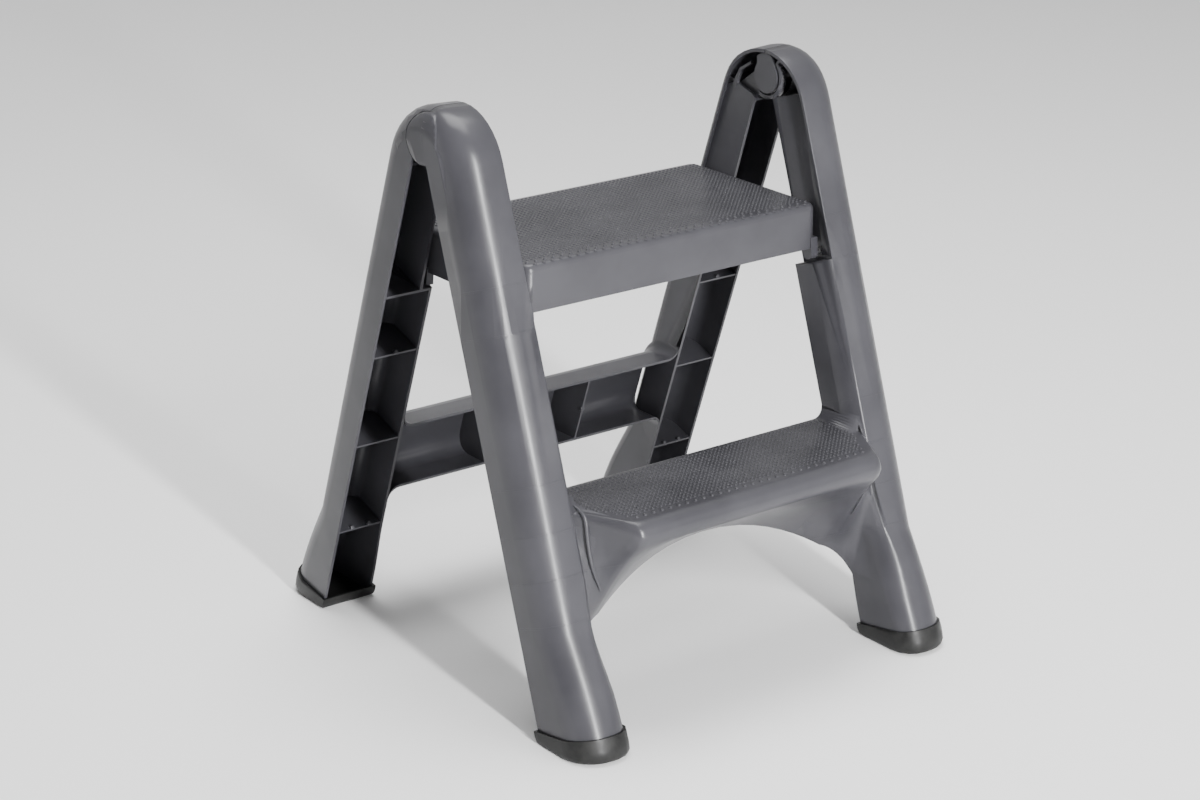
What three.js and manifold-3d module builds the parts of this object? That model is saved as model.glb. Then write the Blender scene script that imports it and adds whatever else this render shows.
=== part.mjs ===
// Folding two-step stool: a front frame with the lower step, a rear frame, a hinged top step,
// four rubber boots, two hinge studs and two step pins. Millimetres, +Z up, front faces -Y,
// origin on the ground in the middle of the footprint.
import * as THREE from 'three';
import { mergeVertices } from 'three/addons/utils/BufferGeometryUtils.js';
import Module from 'manifold-3d';

const wasm = await Module();
wasm.setup();

// ---------- driving dimensions ----------
const OUT_X = 232.5;          // outer wall of all four rails
const IN_X = 176.6;           // inner wall of the rails below the ledges
const LIP_X = 182;            // inner edge of the rail faces above the ledges
const PLATE_X = 188;          // recessed inner plate above the ledges
const WALL = 3;
const HINGE = { y: -16, z: 548 };
const TOP_Z = 577;
const LEG_CUT_Z = 6;          // legs stop here, inside the boots
const ORIGIN_Y = 4.77;        // puts the origin under the middle of the whole stool

// rail lines: y = base + lean * z is the outside face, measured in the side view
const FRONT = { base: -255.7, lean: 0.334, depth: 53.8, side: -1, outR: 31, ledge: 404.4 };
const REAR = { base: 246.1, lean: -0.362, depth: 52, side: 1, outR: 28, ledge: 418.9 };
const KICK = 17;              // how far each foot kicks out
const KICK_FROM = 121;        // rail length at which the kick ends
const FOOT_WIDEN = 2.8;       // the feet grow this much towards each other
const FRONT_RIBS = [70, 175, 300];
const REAR_RIBS = [121.1, 233.6, 344.9];

const STEP = { halfX: 179.5, y0: -106, y1: 92, z0: 391, z1: 437, cornerR: 12, edgeR: 7 };
const STEP_PIN = { y: -101, z: 385, r: 4 };
const LOWER = { z: 217, noseY: -246, noseR: 15, foldZ: 194, cornerX: 150, railX: 181 };
const CROSS = { z0: 136, z1: 214, r: 26, fillet: 12 };
const DISC_R = 24.5;
const DRUM_X = 199;           // the hinge drum starts here and ends at the outer wall
const HOOD_R = 24;            // outer corner radius over the top
const AXLE_R = 9;

// ---------- helpers ----------
function toSolid(geometry) {
  geometry.deleteAttribute('normal');
  geometry.deleteAttribute('uv');
  const g = mergeVertices(geometry, 1e-4);
  const tris = [];
  for (let i = 0; i < g.index.count; i += 3) {
    const [a, b, c] = [g.index.getX(i), g.index.getX(i + 1), g.index.getX(i + 2)];
    if (a !== b && b !== c && c !== a) tris.push(a, b, c);
  }
  return new wasm.Manifold(new wasm.Mesh({
    numProp: 3,
    vertProperties: new Float32Array(g.attributes.position.array),
    triVerts: new Uint32Array(tris),
  }));
}

function signedVolume(pos, tris) {
  let v = 0;
  for (let i = 0; i < tris.length; i += 3) {
    const [a, b, c] = [tris[i], tris[i + 1], tris[i + 2]].map((k) => pos[k]);
    v += a[0] * (b[1] * c[2] - b[2] * c[1]) - a[1] * (b[0] * c[2] - b[2] * c[0])
       + a[2] * (b[0] * c[1] - b[1] * c[0]);
  }
  return v;
}

// Skin a stack of equal-length closed rings and cap both ends. `flat` gives each ring as 2-D
// points for the cap triangulation.
function loft(rings, flatFirst, flatLast) {
  const n = rings[0].length;
  const pos = rings.flat();
  const tris = [];
  for (let k = 0; k + 1 < rings.length; k++) {
    for (let i = 0; i < n; i++) {
      const j = (i + 1) % n;
      const a = k * n + i, b = k * n + j, c = (k + 1) * n + j, d = (k + 1) * n + i;
      tris.push(a, b, c, a, c, d);
    }
  }
  // a triangle whose corners follow the ring in order turns the same way as the ring
  const cap = (flat, offset, reverse) => {
    const pts = flat.map((p) => new THREE.Vector2(p[0], p[1]));
    for (const f of THREE.ShapeUtils.triangulateShape(pts, [])) {
      const g = [...f].sort((a, b) => (reverse ? b - a : a - b));
      tris.push(...g.map((q) => q + offset));
    }
  };
  cap(flatFirst, 0, true);
  cap(flatLast, (rings.length - 1) * n, false);
  if (signedVolume(pos, tris) < 0) {
    for (let i = 0; i < tris.length; i += 3) [tris[i + 1], tris[i + 2]] = [tris[i + 2], tris[i + 1]];
  }
  const g = new THREE.BufferGeometry();
  g.setAttribute('position', new THREE.Float32BufferAttribute(pos.flat(), 3));
  g.setIndex(tris);
  return toSolid(g);
}

// A flat plate drawn in the side view (y, z) and given a width from x0 to x1.
function plate(points, x0, x1, holes = []) {
  const shape = new THREE.Shape(points.map((p) => new THREE.Vector2(p[0], p[1])));
  for (const h of holes) {
    const path = new THREE.Path();
    path.absarc(h.y, h.z, h.r, 0, Math.PI * 2, true);
    shape.holes.push(path);
  }
  const g = new THREE.ExtrudeGeometry(shape, { depth: x1 - x0, bevelEnabled: false, curveSegments: 24 });
  g.applyMatrix4(new THREE.Matrix4().makeBasis(
    new THREE.Vector3(0, 1, 0), new THREE.Vector3(0, 0, 1), new THREE.Vector3(1, 0, 0)));
  g.translate(x0, 0, 0);
  return toSolid(g);
}

function roundBar(y, z, r, x0, x1, sides = 40) {
  const g = new THREE.CylinderGeometry(r, r, x1 - x0, sides);
  g.rotateZ(-Math.PI / 2);
  g.translate((x0 + x1) / 2, y, z);
  return toSolid(g);
}

function block(x0, x1, y0, y1, z0, z1) {
  const g = new THREE.BoxGeometry(x1 - x0, y1 - y0, z1 - z0);
  g.translate((x0 + x1) / 2, (y0 + y1) / 2, (z0 + z1) / 2);
  return toSolid(g);
}

// Solid of revolution about an axis along X through (y, z): [radius, x] pairs, ends on the axis.
function turned(y, z, pairs, sides = 72) {
  const g = new THREE.LatheGeometry(pairs.map(([r, x]) => new THREE.Vector2(r, x)), sides);
  g.rotateZ(-Math.PI / 2);
  g.translate(0, y, z);
  let s = toSolid(g);
  if (s.volume() < 0) s = s.mirror([0, 1, 0]);
  return s;
}

const join = (list) => list.reduce((a, b) => a.add(b));
const mirrored = (s) => s.mirror([1, 0, 0]);
const bothSides = (s) => s.add(mirrored(s));
const arc = (cy, cz, r, a0, a1, n) => Array.from({ length: n + 1 }, (_, i) => {
  const a = THREE.MathUtils.degToRad(a0 + ((a1 - a0) * i) / n);
  return [cy + r * Math.cos(a), cz + r * Math.sin(a)];
});
const smooth = (t) => { const u = Math.min(1, Math.max(0, t)); return u * u * (3 - 2 * u); };
const mix = (a, b, t) => a + (b - a) * t;

// ---------- rail geometry, right-hand side (+X) ----------
// A rail is followed by length s along its outside face; depth n runs inwards from that face.
function railFrame(rail) {
  const k = Math.hypot(1, rail.lean);
  const axis = [rail.lean / k, 1 / k];
  const inward = [-rail.side / k, -Math.abs(rail.lean) / k];
  // the face bends over the top on one arc that ends level at the crown
  const c = rail.side * (HINGE.y - rail.base - rail.lean * TOP_Z);
  const R = -c / (k - Math.abs(rail.lean));
  const centre = [HINGE.y, TOP_Z - R];
  const tangent = [centre[0] - inward[0] * R, centre[1] - inward[1] * R];
  const sBend = (tangent[0] - rail.base) * axis[0] + tangent[1] * axis[1];
  return { axis, inward, R, centre, sBend, span: Math.acos(-inward[1]) };
}
for (const rail of [FRONT, REAR]) Object.assign(rail, railFrame(rail));

function kickAt(s) {
  return s >= KICK_FROM ? 0 : KICK * Math.sin((Math.PI / 2) * Math.min(1, (KICK_FROM - s) / KICK_FROM));
}

// Side-view point at length s and depth n (n is 0 on the face, kicked out at the foot).
function railPoint(rail, s, n) {
  const y = rail.base + rail.axis[0] * s + rail.inward[0] * n;
  const z = rail.axis[1] * s + rail.inward[1] * n;
  return [y, z];
}

// Open outline of one rail section, from the open edge of the outer wall, round the face,
// to the open edge of the inner wall. `t` pulls it in by a wall thickness, `grow` pushes out.
function lowerOutline(rail, s, t = 0, grow = 0, toe = 0) {
  const kick = kickAt(s);
  const face = -kick + t - grow + toe;
  const xo = OUT_X - t + grow;
  const xi = IN_X - FOOT_WIDEN * smooth((120 - s) / 75) + t - grow;
  const depth = rail.depth + grow;
  const pts = [[xo, depth]];
  const ro = rail.outR - t + grow;
  for (let i = 0; i <= 6; i++) {
    const a = (i / 6) * (Math.PI / 2);
    pts.push([xo - ro + ro * Math.cos(a), face + ro - ro * Math.sin(a)]);
  }
  const round = rail === FRONT ? 1 - smooth((s - 55) / 110) : 1;
  const ri = (rail === FRONT ? 21 : 13) - t + grow;
  const crispX = rail === FRONT ? LIP_X + t * 0.9 - grow : xi;
  for (let i = 0; i <= 4; i++) {
    const a = (i / 4) * (Math.PI / 2);
    const soft = [xi + ri - ri * Math.sin(a), face + ri - ri * Math.cos(a)];
    const hard = i === 0 ? [crispX + 3, face + 1.2]
      : [mix(crispX, xi, (i - 1) / 3), mix(face + 1.6, 27, (i - 1) / 3)];
    pts.push([mix(hard[0], soft[0], round), mix(hard[1], soft[1], round)]);
  }
  pts.push([xi, depth]);
  return pts;
}

function ringAt(rail, s, flat) {
  return flat.map(([x, n]) => [x, ...railPoint(rail, s, n)]);
}

function bandFlat(outer, inner) {
  return [...outer, ...inner.slice().reverse()];
}

function railLower(rail) {
  const stations = [-14, 20, 38, 56, 74, 92, 108, 121, 165, 240, rail.ledge];
  const flats = stations.map((s) => bandFlat(lowerOutline(rail, s), lowerOutline(rail, s, WALL)));
  const rings = stations.map((s, i) => ringAt(rail, s, flats[i]));
  return loft(rings, flats[0], flats[flats.length - 1]);
}

// A thin bulkhead across the rail, filling its section, at length s.
function bulkhead(rail, s, thick, inset = 1) {
  const st = [s - thick, s];
  const flats = st.map((q) => lowerOutline(rail, q, inset).map(([x, n], i, a) => (
    i === 0 || i === a.length - 1 ? [x, rail.depth - (inset > 0 ? 0.6 : 0)] : [x, n])));
  return loft(st.map((q, i) => ringAt(rail, q, flats[i])), flats[0], flats[1]);
}

// Upper part: outer wall, rounded corner and face with a free inner lip, bending over the top.
function railUpper(rail) {
  const list = [];
  const from = rail.ledge - 3;
  for (const s of [from, rail.ledge + 60, rail.sBend - 30, rail.sBend]) list.push({ s, phi: 0 });
  const end = rail.span - 0.5 / rail.R;
  for (let i = 1; i <= 8; i++) list.push({ s: rail.sBend, phi: (end * i) / 8 });
  const rings = [], flats = [];
  for (const { s, phi } of list) {
    const u = phi / rail.span;
    const ro = mix(rail.outR, HOOD_R, smooth(u * 1.25));
    const ri = rail === FRONT ? 0.8 : mix(6, 0.8, smooth(u * 2));
    const depth = mix(rail.depth, 28, smooth(u * 3));
    const outer = [[OUT_X, Math.max(depth, ro + 1)]];
    for (let i = 0; i <= 6; i++) {
      const a = (i / 6) * (Math.PI / 2);
      outer.push([OUT_X - ro + ro * Math.cos(a), ro - ro * Math.sin(a)]);
    }
    for (let i = 0; i <= 3; i++) {
      const a = (i / 3) * (Math.PI / 2);
      outer.push([LIP_X + ri - ri * Math.sin(a), 1.2 + ri - ri * Math.cos(a)]);
    }
    const inner = [[OUT_X - WALL, Math.max(depth, ro + 1)]];
    const rq = Math.max(ro - WALL, 1.5);
    for (let i = 0; i <= 6; i++) {
      const a = (i / 6) * (Math.PI / 2);
      inner.push([OUT_X - WALL - rq + rq * Math.cos(a), WALL + rq - rq * Math.sin(a)]);
    }
    inner.push([PLATE_X + 4, 4.3], [PLATE_X - 1, 4.6], [LIP_X + ri + 1, 4.8], [LIP_X, Math.max(4.8, ri + 2)]);
    const flat = bandFlat(outer, inner);
    flats.push(flat);
    if (phi === 0) {
      rings.push(ringAt(rail, s, flat));
    } else {
      const ang = Math.atan2(-rail.inward[1], -rail.inward[0]) + rail.side * phi;
      rings.push(flat.map(([x, n]) => [x,
        rail.centre[0] + (rail.R - n) * Math.cos(ang), rail.centre[1] + (rail.R - n) * Math.sin(ang)]));
    }
  }
  return loft(rings, flats[0], flats[flats.length - 1]);
}

const belowGround = () => block(-300, 300, -400, 400, -60, LEG_CUT_Z);

// ---------- front frame ----------
const frontRearY = (z) => -199 + FRONT.lean * z;   // open rear edge of the front rails
const crispY = (z) => -254 + FRONT.lean * z;       // inner front edge of the front rails

const POCKET = 5;             // the side panels under the tread lie this far behind the rails' edges

function archZ(x) {
  const a = Math.min(178, Math.abs(x));
  if (a <= 140) return 143 - 45 * Math.pow(a / 140, 2.1);
  const t = Math.min(1, (a - 140) / 38);
  return 98 - 13 * t - 42 * (1 - Math.sqrt(1 - t * t * 0.98));
}

function noseY(x) {
  const a = Math.abs(x);
  const c0 = LOWER.cornerX - 10;
  if (a <= c0) return LOWER.noseY;
  if (a <= LOWER.cornerX) {
    const t = (a - c0) / 11.5;
    return LOWER.noseY + 6 * (1 - Math.sqrt(1 - t * t));
  }
  const start = noseY(LOWER.cornerX);
  return mix(start, crispY(LOWER.z) + POCKET, Math.min(1, (a - LOWER.cornerX) / (LOWER.railX - LOWER.cornerX)));
}

// Side-view profile of the lower step shell at station x, pulled in by t.
function stepProfile(x, t) {
  const w = Math.min(1, Math.max(0, (Math.abs(x) - LOWER.cornerX) / (LOWER.railX - LOWER.cornerX)));
  const r = mix(LOWER.noseR, 5, w);
  const yf = noseY(x);
  const pts = [[frontRearY(LOWER.z), LOWER.z - t]];
  for (let i = 0; i <= 6; i++) {
    const a = Math.PI / 2 + (i / 6) * (Math.PI / 2);
    pts.push([yf + r + (r - t) * Math.cos(a), LOWER.z - r + (r - t) * Math.sin(a)]);
  }
  const ridge = [mix(yf + 3, crispY(150) + POCKET, w), mix(LOWER.foldZ, 150, w)];
  const zE = archZ(x);
  const yE = frontRearY(zE);
  pts.push([ridge[0] + t * 1.05, ridge[1] + t * 0.45]);
  for (let i = 1; i <= 5; i++) {
    const u = i / 5;
    const sag = 7 * Math.sin(Math.PI * u) * (1 - w);
    const y = mix(ridge[0], yE, u);
    const z = mix(ridge[1], zE, u) + sag * 0.8;
    const lift = i === 5 ? t * 1.3 : t;
    pts.push([Math.min(y + t * 0.5, frontRearY(z + lift)), z + lift]);
  }
  return pts;
}

function lowerStep() {
  const xs = [0, 22, 45, 63, 80, 96, 110, 122, 132, 140, 142.5, 145, 147.5, 150, 154, 160, 167, 174, 180, 183];
  const all = [...xs.slice(1).reverse().map((x) => -x), ...xs];
  const flats = all.map((x) => bandFlat(stepProfile(x, 0), stepProfile(x, WALL)));
  const rings = all.map((x, i) => flats[i].map(([y, z]) => [x, y, z]));
  const shell = loft(rings, flats[0], flats[flats.length - 1]);
  const parts = [shell];
  // turned-down edge along the back of the tread
  const lip = [[frontRearY(217), 217], [frontRearY(202), 202], [frontRearY(202) - 3, 202],
    [frontRearY(217) - 3, 217]];
  parts.push(plate(lip, -178, 178));
  // stiffening ribs under the tread
  for (const x of [-112, -56, 0, 56, 112]) {
    const inner = stepProfile(x, 1.5);
    const back = [frontRearY(archZ(x) + 12) - 14, archZ(x) + 12];
    const top = [frontRearY(LOWER.z) - 6, LOWER.z - 1.5];
    const poly = [top, ...inner.slice(1, -2), [back[0], back[1]]];
    parts.push(plate(poly, x - 1.1, x + 1.1));
  }
  return join(parts);
}

// Hollow corner fillet between the tread and the inner wall of a front rail.
function treadFillet() {
  const r = 14;
  const profile = [[IN_X + 6.5, LOWER.z - 2.5]];
  for (let i = 0; i <= 8; i++) {
    const a = -Math.PI / 2 + (i / 8) * (Math.PI / 2);
    profile.push([IN_X - r + 0.2 + r * Math.cos(a), LOWER.z + r + r * Math.sin(a)]);
  }
  profile.push([IN_X + 6.5, LOWER.z + r]);
  const back = profile.map(([x, z]) => [x, frontRearY(z), z]);
  const front = profile.map(([x, z]) => [x, crispY(z) + 1.2, z]);
  return loft([back, front], profile, profile);
}

function frontFrame() {
  const parts = [railLower(FRONT), railUpper(FRONT), bulkhead(FRONT, FRONT.ledge, WALL, 0)];
  for (const s of FRONT_RIBS) parts.push(bulkhead(FRONT, s, 2.2));
  // recessed inner plate above the ledge
  const platePts = [
    railPoint(FRONT, FRONT.ledge - 1.5, FRONT.depth), [-22, 526.5], [-64, 538],
    railPoint(FRONT, FRONT.sBend, 2.6), railPoint(FRONT, FRONT.ledge - 1.5, 2.6)];
  parts.push(plate(platePts, PLATE_X, PLATE_X + WALL, [{ ...STEP_PIN, r: STEP_PIN.r + 0.08 }]));
  // outer wall around the hinge, and a hollow drum whose end follows the rounded hood
  const wall = [railPoint(FRONT, FRONT.sBend - 60, FRONT.depth), [HINGE.y - 0.5, HINGE.z],
    [HINGE.y - 0.5, HINGE.z + 3], ...arc(FRONT.centre[0], FRONT.centre[1], 40, 95, 140, 6),
    railPoint(FRONT, FRONT.sBend - 60, 33)];
  parts.push(plate(wall, OUT_X - WALL, OUT_X));
  const dome = (t) => turned(FRONT.centre[0], FRONT.centre[1], [[0, PLATE_X], [FRONT.R - t, PLATE_X],
    ...arc(FRONT.R - HOOD_R, OUT_X - HOOD_R, HOOD_R - t, 0, 90, 8), [0, OUT_X - t]]);
  const drum = roundBar(HINGE.y, HINGE.z, DISC_R, DRUM_X, OUT_X + 2, 48).intersect(dome(0));
  const hollow = roundBar(HINGE.y, HINGE.z, DISC_R - WALL, DRUM_X - 1, OUT_X + 2, 48).intersect(dome(WALL));
  parts.push(drum.subtract(hollow));
  parts.push(roundBar(HINGE.y, HINGE.z, AXLE_R, PLATE_X + 1.5, OUT_X - 1, 32));
  parts.push(bulkhead(FRONT, 560.5, 2.2).intersect(block(PLATE_X + 0.5, 240, -200, 200, 400, 600)));
  // ring around the stud head on the inside, joined to the plate and to the hood
  const ring = [...arc(HINGE.y, HINGE.z, 23.6, 132, 300, 24), ...arc(HINGE.y, HINGE.z, 20, 300, 132, 20)];
  parts.push(plate(ring, PLATE_X - 3.5, PLATE_X + WALL));
  const web = [...arc(HINGE.y, HINGE.z, 21, 132, 139, 1), ...arc(HINGE.y, HINGE.z, 31, 138, 133, 1)];
  parts.push(plate(web, PLATE_X - 3.5, PLATE_X + WALL));
  const oneSide = join(parts).add(treadFillet());
  let body = bothSides(oneSide).add(lowerStep());
  body = body.subtract(bothSides(roundBar(HINGE.y, HINGE.z, 5.08, PLATE_X, 223, 32)));
  return body.subtract(belowGround());
}

// ---------- rear frame ----------
const rearOpenY = (z) => 190.8 + REAR.lean * z;    // open front edge of the rear rails
const rearFaceY = (z) => REAR.base + REAR.lean * z;

function crossRail() {
  const xs = [0, 60, 120, 150, 164.6, 168, 171, 173.5, 175.5, 176.6, 178.5];
  const all = [...xs.slice(1).reverse().map((x) => -x), ...xs];
  const lift = (x) => {
    const d = Math.min(CROSS.fillet, Math.abs(x) - (IN_X - CROSS.fillet));
    return d <= 0 ? 0 : CROSS.fillet - Math.sqrt(Math.max(0, CROSS.fillet ** 2 - d * d));
  };
  const profile = (x, t) => {
    const z1 = CROSS.z1 + lift(x) - t;
    const z0 = CROSS.z0 - lift(x) + t;
    const r = CROSS.r - t;
    const pts = [[rearOpenY(z1), z1]];
    const yb = (z) => rearFaceY(z) - t * 1.06;
    for (let i = 0; i <= 6; i++) {
      const a = Math.PI / 2 - (i / 6) * (Math.PI / 2);
      const z = z1 - r + r * Math.sin(a);
      pts.push([yb(z) - r + r * Math.cos(a), z]);
    }
    for (let i = 0; i <= 6; i++) {
      const a = -(i / 6) * (Math.PI / 2);
      const z = z0 + r + r * Math.sin(a);
      pts.push([yb(z) - r + r * Math.cos(a), z]);
    }
    pts.push([rearOpenY(z0), z0]);
    return pts;
  };
  const flats = all.map((x) => bandFlat(profile(x, 0), profile(x, WALL)));
  const rings = all.map((x, i) => flats[i].map(([y, z]) => [x, y, z]));
  const parts = [loft(rings, flats[0], flats[flats.length - 1])];
  for (const x of [-59, 59]) {
    const mid = profile(x, 1.5);
    parts.push(plate(mid, x - 1, x + 1));
  }
  return join(parts);
}

function rearFrame() {
  const parts = [railLower(REAR), railUpper(REAR), bulkhead(REAR, REAR.ledge, WALL, 0)];
  for (const s of REAR_RIBS) parts.push(bulkhead(REAR, s, 2.2));
  // recessed inner plate above the ledge
  const platePts = [
    railPoint(REAR, REAR.ledge - 1.5, REAR.depth), [6, 521], [10, 524.5], [36, 531.5],
    railPoint(REAR, REAR.sBend, 2.6), railPoint(REAR, REAR.ledge - 1.5, 2.6)];
  parts.push(plate(platePts, PLATE_X, PLATE_X + WALL));
  // outer wall round the front frame's drum
  parts.push(plate([railPoint(REAR, REAR.sBend - 60, REAR.depth), [rearOpenY(545), 545],
    ...arc(REAR.centre[0], REAR.centre[1], 50, 80, 40, 6), railPoint(REAR, REAR.sBend - 60, 33)],
    OUT_X - WALL, OUT_X));
  // two low stiffening beads down the inside of the hollow rail
  for (const x of [199, 207]) {
    const bead = [[REAR.ledge, 2], [REAR.sBend, 2], [REAR.sBend, 6], [REAR.ledge, 6]];
    parts.push(plate(bead.map(([s, n]) => railPoint(REAR, s, n)), x, x + 1.4));
  }
  // slim curved web from the plate towards the stud
  const web = [[35, 526], [40, 526], [37, 535], [29, 548], [12, 557.5], [10.5, 555.5], [26.5, 546], [33, 534]];
  parts.push(plate(web, PLATE_X - 1, PLATE_X + WALL));
  // hinge eye on the axle, and its arm down to the inner plate
  const eye = [...arc(HINGE.y, HINGE.z, 16, 40, 290, 24), [17, 512], [40, 512], [40, 527]];
  parts.push(plate(eye, 193, 197.5));
  parts.push(plate([[18, 511], [40, 511], [40, 527], [18, 522]], PLATE_X + 0.5, 197.5));
  parts.push(bulkhead(REAR, 572, 2.5).intersect(block(PLATE_X + 0.5, 240, -200, 200, 400, 600)));
  let side = join(parts);
  side = side.subtract(roundBar(HINGE.y, HINGE.z, DISC_R + 0.8, DRUM_X - 1, OUT_X + 1, 48));
  side = side.subtract(roundBar(HINGE.y, HINGE.z, AXLE_R + 0.08, PLATE_X, OUT_X + 1, 32));
  return bothSides(side).add(crossRail()).subtract(belowGround());
}

// ---------- top step ----------
function roundedRing(hx, y0, y1, r, inset, z) {
  const pts = [];
  const X = hx - inset, A = y0 + inset, B = y1 - inset, q = Math.max(0.8, r - inset);
  const corners = [[X - q, A + q, -90], [X - q, B - q, 0], [-X + q, B - q, 90], [-X + q, A + q, 180]];
  for (const [cx, cy, a0] of corners) {
    for (let i = 0; i <= 6; i++) {
      const a = THREE.MathUtils.degToRad(a0 + 15 * i);
      pts.push([cx + q * Math.cos(a), cy + q * Math.sin(a), z]);
    }
  }
  return pts;
}

function roundedTray(t, zLow) {
  const rings = [roundedRing(STEP.halfX, STEP.y0, STEP.y1, STEP.cornerR, t, zLow)];
  const e = STEP.edgeR - t;
  for (let i = 0; i <= 6; i++) {
    const a = (i / 6) * (Math.PI / 2);
    rings.push(roundedRing(STEP.halfX, STEP.y0, STEP.y1, STEP.cornerR,
      t + e - e * Math.cos(a), STEP.z1 - STEP.edgeR + e * Math.sin(a)));
  }
  return loft(rings, rings[0], rings[rings.length - 1]);
}

function topStep() {
  let body = roundedTray(0, STEP.z0).subtract(roundedTray(WALL, STEP.z0 - 5));
  const rib = (x0, x1, y0, y1) => block(x0, x1, y0, y1, STEP.z0 + 14, STEP.z1 - 1.5);
  const ribs = [];
  for (const y of [-56, -7, 42]) ribs.push(rib(-178, 178, y - 1.1, y + 1.1));
  for (const x of [-135, -90, -45, 0, 45, 90, 135]) ribs.push(rib(x - 1.1, x + 1.1, STEP.y0 + 1, STEP.y1 - 1));
  body = body.add(join(ribs).intersect(roundedTray(1.2, STEP.z0)));
  // hinge lugs below the front corners
  const lug = [[STEP_PIN.y - 5, 402], ...arc(STEP_PIN.y, STEP_PIN.z, 6.5, 180, 360, 10), [STEP_PIN.y + 12, 402]];
  // feet that sit on the rear ledges
  const zl = (y) => (REAR.ledge - (y - REAR.base) * REAR.axis[0]) / REAR.axis[1] + 0.35;
  const foot = [[58, zl(58)], [70, zl(70)], [72, 396], [56, 396]];
  const side = plate(lug, 170.5, STEP.halfX - 0.2).add(plate(foot, 173, 181));
  body = body.add(bothSides(side));
  return body.subtract(bothSides(roundBar(STEP_PIN.y, STEP_PIN.z, STEP_PIN.r + 0.08, 172.5, 186, 32)));
}

// ---------- small pieces ----------
function hingeStud() {
  const head = arc(HINGE.y, HINGE.z, 17.5, 140, 400, 26);
  const top = arc(HINGE.y, HINGE.z, 23.2, 53, 112, 8);
  const outline = [...top, ...head];
  return plate(outline, PLATE_X - 4.5, PLATE_X - 0.5)
    .add(roundBar(HINGE.y, HINGE.z, 5, PLATE_X - 2, 222.5, 32));
}

function stepPin() {
  return roundBar(STEP_PIN.y, STEP_PIN.z, STEP_PIN.r, 172.9, 193, 32);
}

// Horizontal ring round a leg at height z, grown outwards.
function footRing(rail, zOf, grow, toe = 0) {
  return lowerOutline(rail, 20, 0, grow, toe).map((p, i) => {
    let z = 10, q = [0, 0];
    let x = p[0];
    for (let k = 0; k < 4; k++) {
      const n0 = p[1];
      let s = (z - n0 * rail.inward[1]) / rail.axis[1];
      const pt = lowerOutline(rail, s, 0, grow, toe)[i];
      x = pt[0];
      s = (z - pt[1] * rail.inward[1]) / rail.axis[1];
      q = railPoint(rail, s, pt[1]);
      z = zOf(q[0]);
    }
    return [x, q[0], z];
  });
}

function boot(rail) {
  const openY = rail === FRONT ? -199 + 4 : 190.8 - 4;
  const rise = (y) => 11.5 + 0.2 * Math.abs(y - openY);
  // height, growth past the leg, and how far the toe is drawn back near the ground
  const levels = [[() => 0, 0.4, 10], [() => 1, 1.6, 6.2], [() => 3, 2.5, 3.2], [() => 6.5, 2.9, 1],
    [(y) => mix(8, rise(y), 0.35), 2.9, 0], [(y) => mix(8, rise(y), 0.7), 2.9, 0], [rise, 2.7, 0]];
  const rings = levels.map(([f, g, toe]) => footRing(rail, f, g, toe));
  const outer = loft(rings, rings[0], rings[rings.length - 1]);
  const holes = [LEG_CUT_Z - 0.3, 12, 17, 22, 28, 40].map((z) => footRing(rail, () => z, 0.35));
  return outer.subtract(loft(holes, holes[0], holes[holes.length - 1]));
}

// ---------- assembly ----------
const GREY = new THREE.Color(0.30, 0.30, 0.33);
function node(name, solid, color, roughness) {
  const m = solid.translate([0, ORIGIN_Y, 0]).getMesh();
  const g = new THREE.BufferGeometry();
  g.setAttribute('position', new THREE.Float32BufferAttribute(m.vertProperties, 3));
  g.setIndex(new THREE.BufferAttribute(m.triVerts, 1));
  g.computeVertexNormals();
  const mesh = new THREE.Mesh(g, new THREE.MeshStandardMaterial({ color, roughness, metalness: 0 }));
  mesh.name = name;
  return mesh;
}

const stool = new THREE.Group();
stool.name = 'step_stool';
stool.add(node('front_frame', frontFrame(), GREY, 0.38));
stool.add(node('rear_frame', rearFrame(), GREY, 0.4));
stool.add(node('top_step', topStep(), GREY, 0.45));
for (const [name, rail] of [['front', FRONT], ['rear', REAR]]) {
  const b = boot(rail);
  stool.add(node(`boot_${name}_right`, b, new THREE.Color(0.03, 0.03, 0.03), 0.75));
  stool.add(node(`boot_${name}_left`, mirrored(b), new THREE.Color(0.03, 0.03, 0.03), 0.75));
}
for (const [side, flip] of [['right', (s) => s], ['left', mirrored]]) {
  stool.add(node(`hinge_stud_${side}`, flip(hingeStud()), GREY, 0.4));
  stool.add(node(`step_pin_${side}`, flip(stepPin()), new THREE.Color(0.55, 0.55, 0.56), 0.3));
}

export default stool;
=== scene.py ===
# %% [markdown]
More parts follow.
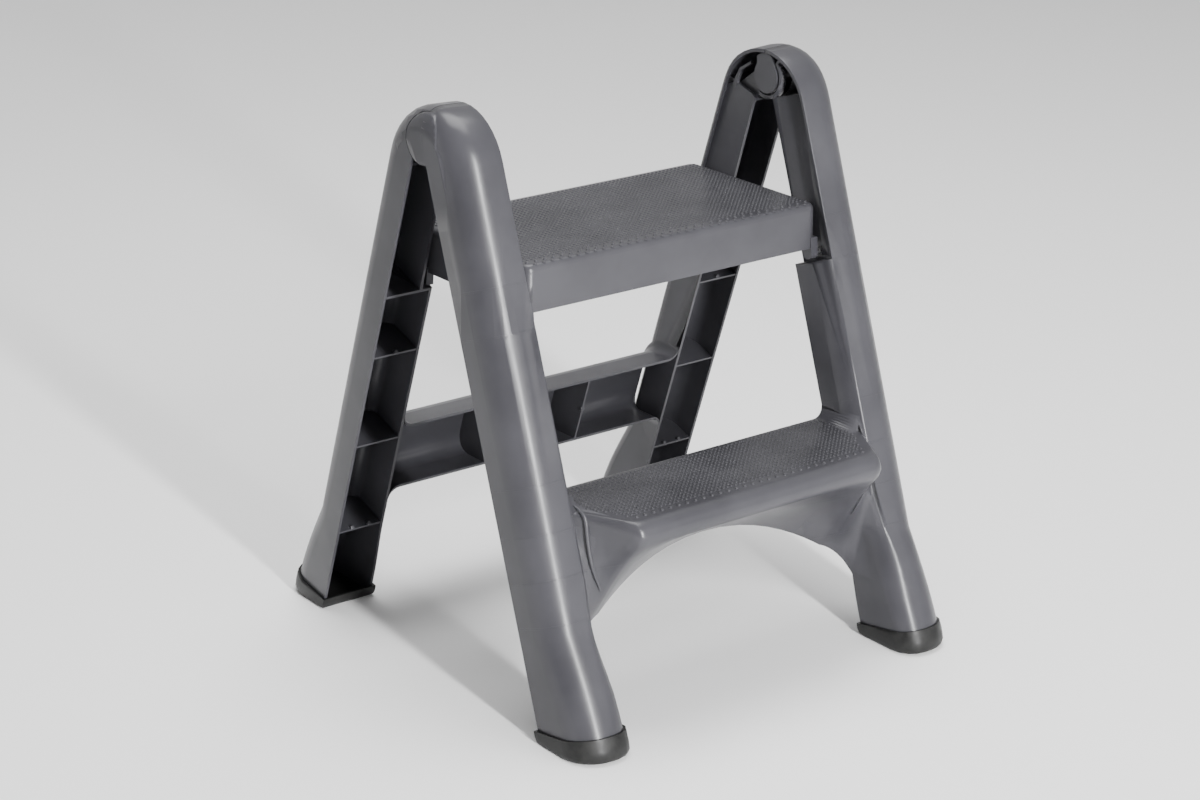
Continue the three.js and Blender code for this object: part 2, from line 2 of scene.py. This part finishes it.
# # Folding step stool
# The stool is two moulded frames that hinge at the top like a clothes peg, a platform that swings between
# them, and four rubber boots. The imported model already holds every piece in its true place, in metres.
# It is loaded first.

# %% Load the frame
import bpy
import math
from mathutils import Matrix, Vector


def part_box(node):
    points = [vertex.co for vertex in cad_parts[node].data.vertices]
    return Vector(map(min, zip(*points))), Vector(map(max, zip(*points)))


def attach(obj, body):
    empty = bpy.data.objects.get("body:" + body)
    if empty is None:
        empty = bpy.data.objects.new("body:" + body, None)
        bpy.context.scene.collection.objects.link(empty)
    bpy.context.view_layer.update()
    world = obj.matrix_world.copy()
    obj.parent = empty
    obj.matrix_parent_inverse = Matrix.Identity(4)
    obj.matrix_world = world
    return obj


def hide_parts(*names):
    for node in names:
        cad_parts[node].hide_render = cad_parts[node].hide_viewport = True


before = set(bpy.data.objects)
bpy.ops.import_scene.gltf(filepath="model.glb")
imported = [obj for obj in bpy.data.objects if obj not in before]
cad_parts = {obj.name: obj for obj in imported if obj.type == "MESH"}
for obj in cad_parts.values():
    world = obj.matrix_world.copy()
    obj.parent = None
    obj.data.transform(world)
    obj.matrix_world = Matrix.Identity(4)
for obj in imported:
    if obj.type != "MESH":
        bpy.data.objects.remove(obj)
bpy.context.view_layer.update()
MM = 0.001
scene = bpy.context.scene

# %% [markdown]
# ## Small tools
# Every operator works on what is selected, so one helper clears the selection and picks a single object,
# and another applies a modifier at once. Finished pieces keep their object at the origin with the shape in
# the mesh, so a pattern on Object coordinates lies still on the piece.


# %% Selection and modifier helpers
def pick(obj):
    if bpy.context.object and bpy.context.object.mode != "OBJECT":
        bpy.ops.object.mode_set(mode="OBJECT")
    bpy.ops.object.select_all(action="DESELECT")
    bpy.context.view_layer.objects.active = obj
    obj.select_set(True)
    return obj


def apply_modifier(obj, kind, **settings):
    pick(obj)
    mod = obj.modifiers.new(kind.lower(), kind)
    for key, value in settings.items():
        setattr(mod, key, value)
    bpy.ops.object.modifier_apply(modifier=mod.name)


def settle(obj):
    """Puts the place, turn and size into the mesh, so the object itself sits at the origin."""
    pick(obj)
    bpy.ops.object.transform_apply(location=True, rotation=True, scale=True)


def dress(obj, body, material):
    obj.data.materials.clear()
    obj.data.materials.append(material)
    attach(obj, body)
    print(f"{obj.name}: {len(obj.data.polygons)} faces on {body}")


# %% [markdown]
# ## Moulded plastic
# The frames and the platform are polypropylene, moulded in a dark grey with a touch of violet. The surface is
# satin: a fine spark-eroded grain breaks up the gloss, the melt leaves faint clouds of lighter and darker
# grey, and hands and shoes rub the skin a little smoother or duller from place to place. Noise at three
# sizes does this: large for the clouds, middling for the rubbed patches and tiny for the grain.


# %% Node helpers and the grey plastic
def new_material(name):
    material = bpy.data.materials.new(name)
    material.use_nodes = True
    tree = material.node_tree
    return material, tree, tree.nodes["Principled BSDF"]


def node(tree, kind, inputs=None, **settings):
    made = tree.nodes.new(kind)
    for key, value in settings.items():
        setattr(made, key, value)
    for key, value in (inputs or {}).items():
        made.inputs[key].default_value = value
    return made


def spread(tree, source, low, high):
    """Turns a 0 to 1 texture value into a number between low and high."""
    made = node(tree, "ShaderNodeMapRange", {"From Min": 0.3, "From Max": 0.7, "To Min": low, "To Max": high},
                interpolation_type="SMOOTHSTEP")
    tree.links.new(source, made.inputs["Value"])
    return made.outputs["Result"]


def tint(tree, factor, dark, light):
    made = node(tree, "ShaderNodeMix", data_type="RGBA")
    tree.links.new(factor, made.inputs["Factor"])
    made.inputs["A"].default_value = (*dark, 1)
    made.inputs["B"].default_value = (*light, 1)
    return made.outputs["Result"]


def moulded_plastic(name, dark, light, rough=(0.285, 0.35), grain=0.05, marks=None):
    material, tree, shader = new_material(name)
    place = node(tree, "ShaderNodeTexCoord").outputs["Object"]
    clouds = node(tree, "ShaderNodeTexNoise", {"Scale": 9.0, "Detail": 4.0, "Roughness": 0.6})
    rubbed = node(tree, "ShaderNodeTexNoise", {"Scale": 30.0, "Detail": 2.0, "Roughness": 0.5})
    fine = node(tree, "ShaderNodeTexNoise", {"Scale": 1500.0, "Detail": 2.0})
    for texture in (clouds, rubbed, fine):
        tree.links.new(place, texture.inputs["Vector"])
    tree.links.new(tint(tree, spread(tree, clouds.outputs["Fac"], 0, 1), dark, light), shader.inputs["Base Color"])
    tree.links.new(spread(tree, rubbed.outputs["Fac"], *rough), shader.inputs["Roughness"])
    bump = node(tree, "ShaderNodeBump", {"Strength": grain, "Distance": 0.0003})
    tree.links.new(fine.outputs["Fac"], bump.inputs["Height"])
    # shallow waves where the melt shrank as it cooled
    wave = node(tree, "ShaderNodeTexNoise", {"Scale": 14.0, "Detail": 2.0})
    tree.links.new(place, wave.inputs["Vector"])
    ripple = node(tree, "ShaderNodeBump", {"Strength": 0.22, "Distance": 0.0016})
    tree.links.new(wave.outputs["Fac"], ripple.inputs["Height"])
    tree.links.new(ripple.outputs["Normal"], bump.inputs["Normal"])
    if marks:
        # fine lines across the rail, where ribs behind the wall pull it in
        across, levels = marks
        along = node(tree, "ShaderNodeVectorMath", operation="DOT_PRODUCT")
        along.inputs[1].default_value = across
        tree.links.new(place, along.inputs[0])
        total = None
        for level in levels:
            line = node(tree, "ShaderNodeMath", operation="COMPARE")
            tree.links.new(along.outputs["Value"], line.inputs[0])
            line.inputs[1].default_value = level
            line.inputs[2].default_value = 0.0008
            if total is None:
                total = line.outputs[0]
            else:
                both = node(tree, "ShaderNodeMath", operation="MAXIMUM")
                tree.links.new(total, both.inputs[0])
                tree.links.new(line.outputs[0], both.inputs[1])
                total = both.outputs[0]
        faint = node(tree, "ShaderNodeMath", operation="MULTIPLY")
        tree.links.new(total, faint.inputs[0])
        tree.links.new(spread(tree, rubbed.outputs["Fac"], 0.4, 1), faint.inputs[1])
        crease = node(tree, "ShaderNodeBump", {"Strength": 1.0, "Distance": 0.0006})
        tree.links.new(faint.outputs[0], crease.inputs["Height"])
        tree.links.new(crease.outputs["Normal"], ripple.inputs["Normal"])
    tree.links.new(bump.outputs["Normal"], shader.inputs["Normal"])
    shader.inputs["IOR"].default_value = 1.49
    shader.inputs["Specular IOR Level"].default_value = 0.28
    shader.inputs["Coat Weight"].default_value = 0.1
    shader.inputs["Coat Roughness"].default_value = 0.2
    return material


DARK, LIGHT = (0.034, 0.0335, 0.0385), (0.049, 0.0483, 0.0548)
RIB_LEVELS = [s - 0.0795 for s in (0.130, 0.173, 0.216, 0.262, 0.4045, 0.449)]
grey = moulded_plastic("grey_polypropylene", DARK, LIGHT)
front_grey = moulded_plastic("grey_front_frame", DARK, LIGHT,
                             marks=((0, 0.3168, 0.9485), RIB_LEVELS))
tread_grey = moulded_plastic("grey_tread", DARK, LIGHT, (0.32, 0.42), 0.08)

# %% [markdown]
# ## Black rubber and the steel pins
# The boots are soft black rubber. Rubber is nearly black, gives a wide dull highlight, and is mottled with
# dust in random patches. The platform's pivot pins are turned steel, seen only as small bright ends.


# %% Rubber and steel
def soft_rubber(name):
    material, tree, shader = new_material(name)
    place = node(tree, "ShaderNodeTexCoord").outputs["Object"]
    mottle = node(tree, "ShaderNodeTexNoise", {"Scale": 60.0, "Detail": 6.0, "Roughness": 0.7})
    pores = node(tree, "ShaderNodeTexNoise", {"Scale": 900.0, "Detail": 3.0})
    for texture in (mottle, pores):
        tree.links.new(place, texture.inputs["Vector"])
    colour = tint(tree, spread(tree, mottle.outputs["Fac"], 0, 1), (0.005, 0.005, 0.005), (0.016, 0.016, 0.0155))
    tree.links.new(colour, shader.inputs["Base Color"])
    tree.links.new(spread(tree, mottle.outputs["Fac"], 0.36, 0.55), shader.inputs["Roughness"])
    bump = node(tree, "ShaderNodeBump", {"Strength": 0.12, "Distance": 0.0003})
    tree.links.new(pores.outputs["Fac"], bump.inputs["Height"])
    tree.links.new(bump.outputs["Normal"], shader.inputs["Normal"])
    shader.inputs["IOR"].default_value = 1.52
    shader.inputs["Specular IOR Level"].default_value = 0.26
    return material


def turned_steel(name):
    material, tree, shader = new_material(name)
    place = node(tree, "ShaderNodeTexCoord").outputs["Object"]
    marks = node(tree, "ShaderNodeTexNoise", {"Scale": 700.0, "Detail": 2.0})
    tree.links.new(place, marks.inputs["Vector"])
    tree.links.new(spread(tree, marks.outputs["Fac"], 0.22, 0.38), shader.inputs["Roughness"])
    tree.links.new(tint(tree, marks.outputs["Fac"], (0.5, 0.5, 0.51), (0.6, 0.6, 0.61)), shader.inputs["Base Color"])
    shader.inputs["Metallic"].default_value = 1.0
    return material


rubber = soft_rubber("black_rubber")
steel = turned_steel("pin_steel")

# %% [markdown]
# ## The moulded shells
# The frames and the platform keep the exact shape of the imported model, because the ribs, ledges and hinge
# parts must fit one another. A imported mesh is made of loose flat triangles, so a copy of it is merged and shaded
# smooth. Triangles in one plane are also joined, except on the front frame, where its hoods shade better without.
# The rims are left without a bevel: on the ribbed underside one throws faces right across the pockets.


# %% Shells from the imported pieces
def shell_of(node_name, smooth=32, join_flats=True):
    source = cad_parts[node_name]
    pick(source)
    bpy.ops.object.duplicate()
    shell = bpy.context.object
    shell.name = f"{node_name}_moulded"
    for key in [k for k in shell.keys() if k.startswith("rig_")]:
        del shell[key]
    shell.parent = None
    pick(shell)
    bpy.ops.object.mode_set(mode="EDIT")
    bpy.ops.mesh.select_all(action="SELECT")
    bpy.ops.mesh.remove_doubles(threshold=0.00001)
    if join_flats:
        bpy.ops.mesh.dissolve_limited(angle_limit=math.radians(0.4))
    bpy.ops.object.mode_set(mode="OBJECT")
    bpy.ops.object.shade_smooth_by_angle(angle=math.radians(smooth))
    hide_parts(node_name)
    return shell


for name, body, material in [("front_frame", "front", front_grey), ("rear_frame", "rear", grey),
                             ("top_step", "step", grey)]:
    dress(shell_of(name, join_flats=name != "front_frame"), body, material)
for name in [n for n in sorted(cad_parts) if n.startswith("boot_")]:
    dress(shell_of(name, smooth=40), "front" if "front" in name else "rear", rubber)
for side in ("right", "left"):
    dress(shell_of(f"hinge_stud_{side}", smooth=30), "rear", grey)
    dress(shell_of(f"step_pin_{side}", smooth=30), "step", steel)

# %% [markdown]
# ## Grip dots
# Both treads carry a field of fine moulded pips, with rows of bigger ones along the front edge where the
# shoe's sole turns. One pip is modelled as a cone whose tip is drawn in and rounded off. Two Array modifiers
# repeat it along and across the tread.


# %% One pip and a field of them
def pip_field(name, radius, height, first, step, counts, level):
    bpy.ops.object.select_all(action="DESELECT")
    bpy.ops.mesh.primitive_cone_add(vertices=8, radius1=radius, radius2=radius * 0.72, depth=height,
                                    location=(first[0], first[1], level + height * 0.5 - 0.0001))
    field = bpy.context.object
    field.name = name
    bpy.ops.object.mode_set(mode="EDIT")
    bpy.ops.mesh.select_mode(type="FACE")
    bpy.ops.mesh.select_all(action="DESELECT")
    bpy.ops.object.mode_set(mode="OBJECT")
    for face in field.data.polygons:
        face.select = face.normal.z > 0.9
    bpy.ops.object.mode_set(mode="EDIT")
    bpy.ops.mesh.inset(thickness=radius * 0.3, depth=height * 0.22)
    bpy.ops.object.mode_set(mode="OBJECT")
    settle(field)
    for axis in (0, 1):
        offset = [0.0, 0.0, 0.0]
        offset[axis] = step[axis]
        apply_modifier(field, "ARRAY", count=counts[axis], use_relative_offset=False, use_constant_offset=True,
                       constant_offset_displace=offset)
    pick(field)
    bpy.ops.object.shade_smooth_by_angle(angle=math.radians(50))
    return field


def joined(name, pieces):
    pick(pieces[0])
    for piece in pieces[1:]:
        piece.select_set(True)
    bpy.ops.object.join()
    pieces[0].name = name
    return pieces[0]


TREAD, LOWER = 437 * MM, 217 * MM
top_low, top_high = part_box("top_step")
front_edge = top_low.y + 11 * MM
fine_top = pip_field("fine", 1.55 * MM, 0.9 * MM, (-170 * MM, front_edge + 7 * MM), (5 * MM, 5 * MM), (69, 35), TREAD)
big_top = pip_field("big", 2.1 * MM, 1.2 * MM, (-170 * MM, front_edge), (10 * MM, 5 * MM), (35, 1), TREAD)
edge_top = pip_field("edge", 2.1 * MM, 1.0 * MM, (-165 * MM, -97 * MM), (10 * MM, 5 * MM), (34, 1), 436.4 * MM)
dress(joined("top_step_grip", [fine_top, big_top, edge_top]), "step", tread_grey)

# %% [markdown]
# The lower tread narrows towards its front, between the roots of the rails, so its field is made of a wide
# block at the back and shorter rows in front.

# %% Pips on the lower tread
rows = []
for count, y in [(69, -128), (69, -133), (69, -138), (69, -143), (69, -148), (69, -153), (69, -158), (69, -163),
                 (69, -168), (69, -173), (67, -178), (65, -183), (65, -188), (63, -193), (61, -198), (61, -203),
                 (59, -208), (59, -213)]:
    start = -(count - 1) / 2 * 5 * MM
    rows.append(pip_field("row", 1.55 * MM, 0.9 * MM, (start, y * MM), (5 * MM, 5 * MM), (count, 1), LOWER))
rows.append(pip_field("row", 2.1 * MM, 1.2 * MM, (-140 * MM, -221 * MM), (10 * MM, 5 * MM), (29, 1), LOWER))
dress(joined("lower_tread_grip", rows), "front", tread_grey)

# %% [markdown]
# ## Rims beside the lower tread
# Where each front rail meets the sunken side panel under the tread, the moulding keeps a rounded rim that fades
# out down the apron. It could be drawn into the frame itself, but a thin round bar, half sunk in the corner and
# tapered at both ends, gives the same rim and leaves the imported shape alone. A nurbs path carries the bar.


# %% Rims beside the lower tread
RIM_ROUTE = [(177.5, -174.2, 222.5, 0.3), (174.6, -182.5, 218.5, 0.8), (173.7, -187.6, 210, 1.0),
             (173.8, -189.2, 196, 1.0), (173.2, -191.2, 182, 1.0), (171.9, -194.3, 166, 0.9),
             (166.6, -193.4, 152, 0.7), (158.0, -189.0, 136, 0.25)]
RIM_RADIUS = 2.3 * MM


def rim_of(side):
    bpy.ops.object.select_all(action="DESELECT")
    bpy.ops.curve.primitive_nurbs_path_add(location=(0, 0, 0))
    path = bpy.context.object
    spline = path.data.splines[0]
    spline.points.add(len(RIM_ROUTE) - len(spline.points))
    spline.order_u = 3
    for point, (x, y, z, share) in zip(spline.points, RIM_ROUTE):
        point.co = (side * x * MM, y * MM, z * MM, 1)
        point.radius = share
    path.data.bevel_depth = RIM_RADIUS
    path.data.bevel_resolution = 4
    path.data.use_fill_caps = True
    pick(path)
    bpy.ops.object.convert(target="MESH")
    rim = bpy.context.object
    bpy.ops.object.mode_set(mode="EDIT")
    bpy.ops.mesh.select_all(action="SELECT")
    bpy.ops.mesh.remove_doubles(threshold=0.00001)
    bpy.ops.mesh.normals_make_consistent(inside=False)
    bpy.ops.object.mode_set(mode="OBJECT")
    bpy.ops.object.shade_smooth_by_angle(angle=math.radians(50))
    return rim


dress(joined("side_panel_rims", [rim_of(-1), rim_of(1)]), "front", front_grey)

# %% [markdown]
# ## Ejector nubs
# Where the mould's pins push the frame out, the thin ribs carry round nubs. They are short bars with rounded
# ends, set into the open edges of the ribs in the hollow rear rails and on one rib of the cross rail.


# %% Nubs on the ribs
def nub(place, radius=2.2 * MM, length=7 * MM):
    bpy.ops.object.select_all(action="DESELECT")
    bpy.ops.mesh.primitive_cylinder_add(vertices=20, radius=radius, depth=length, location=place,
                                        rotation=(math.radians(70), 0, 0))
    bar = bpy.context.object
    settle(bar)
    apply_modifier(bar, "BEVEL", width=0.6 * MM, segments=2, limit_method="ANGLE", angle_limit=math.radians(50))
    pick(bar)
    bpy.ops.object.shade_smooth_by_angle(angle=math.radians(40))
    return bar


def rear_edge(s, n):
    """A point of the rear rail, s along it from the floor and n in from its rear face."""
    return (250.87 - 0.3404 * s - 0.9403 * n) * MM, (0.9403 * s - 0.3404 * n) * MM


nubs = []
for side in (-1, 1):
    for rib, places in [(344.9, [204]), (121.1, [194, 214])]:
        for x in places:
            y, z = rear_edge(rib, 49)
            nubs.append(nub((side * x * MM, y, z)))
nubs.append(nub((59 * MM, (190.8 + 4.77 - 0.362 * 176 + 2.2) * MM, 176 * MM)))
dress(joined("rib_nubs", nubs), "rear", grey)

# %% [markdown]
# ## Floor, light and camera
# A pale studio floor curves up behind the stool. A large soft light from the front right draws the long
# highlight down the rounded corners of the rails, a weaker one fills from the left, and the sky lifts the rest.

# %% Studio
bpy.ops.object.select_all(action="DESELECT")
bpy.ops.mesh.primitive_plane_add(size=8, location=(0, 0, 0))
floor = bpy.context.object
floor.name = "studio_floor"
bpy.ops.object.mode_set(mode="EDIT")
bpy.ops.mesh.select_mode(type="EDGE")
bpy.ops.mesh.select_all(action="DESELECT")
bpy.ops.object.mode_set(mode="OBJECT")
for edge in floor.data.edges:
    edge.select = all(floor.data.vertices[v].co.y > 3 for v in edge.vertices)
bpy.ops.object.mode_set(mode="EDIT")
bpy.ops.mesh.extrude_region_move(TRANSFORM_OT_translate={"value": (0, 1.2, 0.5)})
bpy.ops.mesh.extrude_region_move(TRANSFORM_OT_translate={"value": (0, 0.5, 4)})
bpy.ops.object.mode_set(mode="OBJECT")
floor_paint, floor_tree, floor_shader = new_material("pale_floor")
floor_shader.inputs["Base Color"].default_value = (0.97, 0.97, 0.97, 1)
floor_shader.inputs["Roughness"].default_value = 0.7
floor.data.materials.append(floor_paint)


def soft_light(name, place, aim, size, power):
    light = bpy.data.lights.new(name, "AREA")
    light.shape = "RECTANGLE"
    light.size, light.size_y = size
    light.energy = power
    lamp = bpy.data.objects.new(name, light)
    scene.collection.objects.link(lamp)
    lamp.location = place
    lamp.rotation_euler = (Vector(aim) - Vector(place)).to_track_quat("-Z", "Y").to_euler()
    return lamp


soft_light("key", (-0.55, -3.4, 1.15), (0, 0, 0.3), (0.16, 2.6), 320)
soft_light("front_fill", (1.9, -2.9, 1.5), (0, 0, 0.3), (1.6, 1.8), 10)
soft_light("rim", (-3.2, 1.5, 0.9), (0, 0, 0.3), (0.2, 2.0), 8)
soft_light("top", (0.2, 0.3, 3.0), (0, 0, 0.3), (1.8, 1.8), 90)
world = bpy.data.worlds.new("studio")
scene.world = world
world.use_nodes = True
sky = world.node_tree
sky.nodes["Background"].inputs["Color"].default_value = (1, 1, 1, 1)
heading = node(sky, "ShaderNodeTexCoord").outputs["Generated"]
parts = node(sky, "ShaderNodeSeparateXYZ")
sky.links.new(heading, parts.inputs["Vector"])
flag = node(sky, "ShaderNodeMapRange", {"From Min": -0.9, "From Max": 0.3, "To Min": 0.22, "To Max": 0.62})
sky.links.new(parts.outputs["X"], flag.inputs["Value"])
sky.links.new(flag.outputs["Result"], sky.nodes["Background"].inputs["Strength"])

# %% Camera
AZIMUTH, ELEVATION = math.radians(-36.907), math.radians(20.043)
lens = bpy.data.cameras.new("camera")
lens.lens, lens.sensor_width = 84.12, 36
camera = bpy.data.objects.new("camera", lens)
scene.collection.objects.link(camera)
camera.location = (-1.610741, -2.122707, 1.209804)
camera.rotation_euler = (math.pi / 2 - ELEVATION, 0, AZIMUTH)
scene.camera = camera
